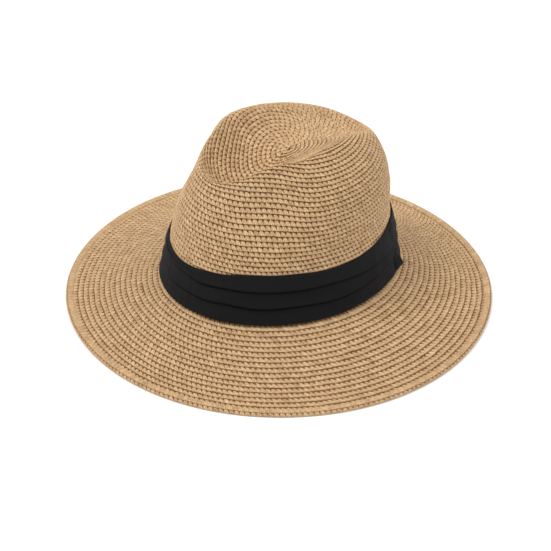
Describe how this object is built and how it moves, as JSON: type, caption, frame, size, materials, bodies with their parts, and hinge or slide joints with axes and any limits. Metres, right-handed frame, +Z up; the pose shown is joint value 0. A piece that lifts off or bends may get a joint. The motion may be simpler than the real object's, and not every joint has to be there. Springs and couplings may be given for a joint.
{
  "type": "straw sun hat",
  "caption": "Wide-brimmed straw sun hat with a pinched teardrop crown, spiral-sewn paper braid, a pleated black cloth band with a side knot, and a sweatband inside.",
  "frame": {"origin": "centre of the hat's outline, on the flat surface that the underside of the brim's edge row rests on", "axes": "+Z up through the crown; the front of the hat faces -Y; the wearer's left is +X"},
  "size_m": [0.347, 0.358, 0.1469],
  "materials": {
    "straw": "matte twisted paper braid",
    "band_cloth": "matte black plain weave",
    "sweatband_tape": "ribbed cotton tape",
    "thread": "spun sewing thread",
    "black_thread": "spun sewing thread",
    "hoop_plastic": "clear nylon line",
    "sleeve_metal": "satin tube",
    "label_cloth": "blank woven label"
  },
  "bodies": {
    "root": {"crown_braid": "straw", "brim_braid": "straw", "brim_edge_row": "straw", "brim_hoop": "hoop_plastic", "hoop_sleeve": "sleeve_metal", "hatband": "band_cloth", "hatband_knot": "band_cloth", "hatband_tacks": "black_thread", "sweatband": "sweatband_tape", "sweatband_tab": "sweatband_tape", "sweatband_stitching": "thread", "size_label": "label_cloth"}
  },
  "joints": []
}
